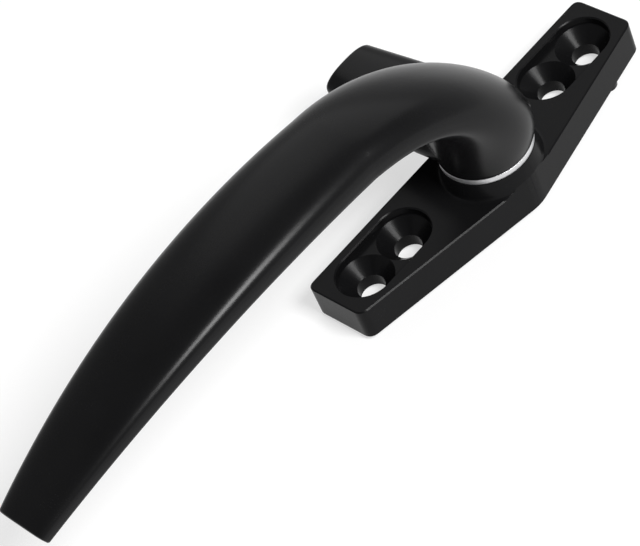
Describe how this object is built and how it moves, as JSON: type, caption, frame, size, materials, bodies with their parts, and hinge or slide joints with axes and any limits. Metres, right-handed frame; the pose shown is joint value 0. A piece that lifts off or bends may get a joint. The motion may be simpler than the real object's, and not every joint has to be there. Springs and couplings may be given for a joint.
{
  "type": "cockspur window handle",
  "caption": "Surface-mounted casement window handle: a curved tapering lever with a side nose turns a quarter turn on a flat base plate with a round hub.",
  "frame": {"origin": "where the lever's turning axis meets the mounting face of the base plate", "axes": "+Z away from the window sash along the turning axis, +Y along the base plate, the closed lever points along -Y and its nose along -X, across the frame"},
  "size_m": [0.0458, 0.1542, 0.0476],
  "materials": {
    "black_coated_alloy": "satin black powder coat on die-cast alloy",
    "stainless": "turned stainless steel, fine brushed",
    "zinc_plated_steel": "bright zinc plated",
    "nylon": "natural moulded nylon"
  },
  "bodies": {
    "base": {"base_plate": "black_coated_alloy", "hub_bush_upper": "nylon", "hub_bush_lower": "nylon", "thrust_washer": "stainless"},
    "turning_lever": {"lever": "black_coated_alloy", "grub_screw": "zinc_plated_steel", "spindle": "zinc_plated_steel", "stop_disc": "zinc_plated_steel", "disc_spring_upper": "stainless", "disc_spring_lower": "stainless", "plain_washer": "zinc_plated_steel", "retaining_nut": "zinc_plated_steel"}
  },
  "joints": [
    {"name": "lever_turn", "type": "hinge", "parent": "base", "child": "turning_lever", "pos_m": [0, 0, 0], "axis": [0, 0, 1], "range_deg": [0, 90]}
  ]
}
